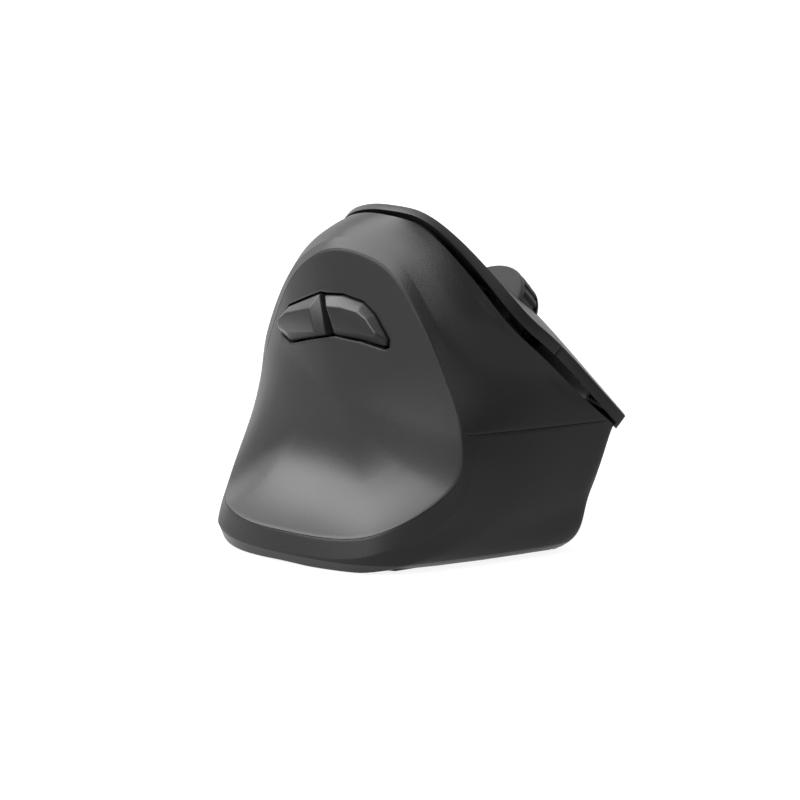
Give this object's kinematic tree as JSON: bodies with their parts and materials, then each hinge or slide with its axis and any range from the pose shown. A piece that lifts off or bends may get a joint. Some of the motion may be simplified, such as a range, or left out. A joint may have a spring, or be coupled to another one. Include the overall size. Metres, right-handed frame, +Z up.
{
  "type": "vertical ergonomic mouse",
  "caption": "Left-handed vertical computer mouse: hollow thumb side with a faceted button pair, sloping finger plates over an open slot, and a sprung scroll wheel.",
  "frame": {"origin": "on the desk plane under the middle of the bounding box", "axes": "+Z up, -Y forward (away from the user), -X towards the thumb side, +X towards the finger side"},
  "size_m": [0.0712, 0.0897, 0.0702],
  "materials": {
    "shell": "fine matte texture",
    "dish": "fine matte texture",
    "side_buttons": "smooth satin",
    "inner_plastic": "plain moulded",
    "boards": "coated circuit board",
    "steel": "zinc plated",
    "wheel_hub": "satin sidewall",
    "wheel_tyre": "grooved tread",
    "cell": "plain sleeve",
    "contacts": "spring strip",
    "lens": "clear moulded",
    "feet": "low friction",
    "slider": "plain moulded",
    "base": "fine matte texture"
  },
  "bodies": {
    "case": {"upper_housing": "shell", "lower_case": "shell", "thumb_panel": "dish", "side_board": "boards", "side_screws": "steel", "side_switches": "inner_plastic", "palm_shell": "shell", "palm_screws": "steel", "pivot_rods": "steel", "inner_frame": "inner_plastic", "frame_screws": "steel", "button_board": "boards", "index_switch": "inner_plastic", "middle_switch": "inner_plastic", "dpi_switch": "inner_plastic", "wheel_switch": "inner_plastic", "base_plate": "base", "cell": "cell", "cell_contacts": "contacts", "main_board": "boards", "board_screws": "steel", "optical_sensor": "inner_plastic", "sensor_lens": "lens", "power_switch": "inner_plastic", "glide_feet": "feet"},
    "index_button": {"index_button": "shell"},
    "middle_button": {"middle_button": "shell"},
    "carriage": {"wheel_carriage": "inner_plastic", "wheel_encoder": "inner_plastic"},
    "wheel": {"wheel_hub": "wheel_hub", "wheel_tyre": "wheel_tyre"},
    "dpi_button": {"dpi_button": "side_buttons"},
    "forward_button": {"forward_button": "side_buttons"},
    "back_button": {"back_button": "side_buttons"},
    "power_slider": {"power_slider": "slider"},
    "battery_door": {"battery_door": "base"}
  },
  "joints": [
    {"name": "index_press", "type": "hinge", "parent": "case", "child": "index_button", "pos_m": [-0.00278, 0.00346, 0.05466], "axis": [0.6947, 0, -0.7193], "range_deg": [0, 0.8], "stiffness_Nm_per_rad": 1, "springref_deg": -1.49},
    {"name": "middle_press", "type": "hinge", "parent": "case", "child": "middle_button", "pos_m": [0.01841, 0.00346, 0.03272], "axis": [0.6947, 0, -0.7193], "range_deg": [0, 0.8], "stiffness_Nm_per_rad": 1, "springref_deg": -1.49},
    {"name": "wheel_click", "type": "slide", "parent": "case", "child": "carriage", "axis": [-0.7193, 0, -0.6947], "range_m": [0, 0.0005], "stiffness_N_per_m": 1000, "springref_m": -0.001},
    {"name": "wheel_spin", "type": "hinge", "parent": "carriage", "child": "wheel", "pos_m": [0.00479, -0.02654, 0.04669], "axis": [0.6947, 0, -0.7193], "continuous": true},
    {"name": "dpi_press", "type": "slide", "parent": "case", "child": "dpi_button", "axis": [-0.7193, 0, -0.6947], "range_m": [0, 0.0007], "stiffness_N_per_m": 600, "springref_m": -0.001},
    {"name": "forward_press", "type": "slide", "parent": "case", "child": "forward_button", "axis": [1, 0, 0], "range_m": [0, 0.0007], "stiffness_N_per_m": 600, "springref_m": -0.001},
    {"name": "back_press", "type": "slide", "parent": "case", "child": "back_button", "axis": [1, 0, 0], "range_m": [0, 0.0007], "stiffness_N_per_m": 600, "springref_m": -0.001},
    {"name": "power_slide", "type": "slide", "parent": "case", "child": "power_slider", "axis": [0, 1, 0], "range_m": [0, 0.003]},
    {"name": "door_swing", "type": "hinge", "parent": "case", "child": "battery_door", "pos_m": [-0.01045, 0.02306, 0.0019], "axis": [1, 0, 0], "range_deg": [0, 60]}
  ]
}
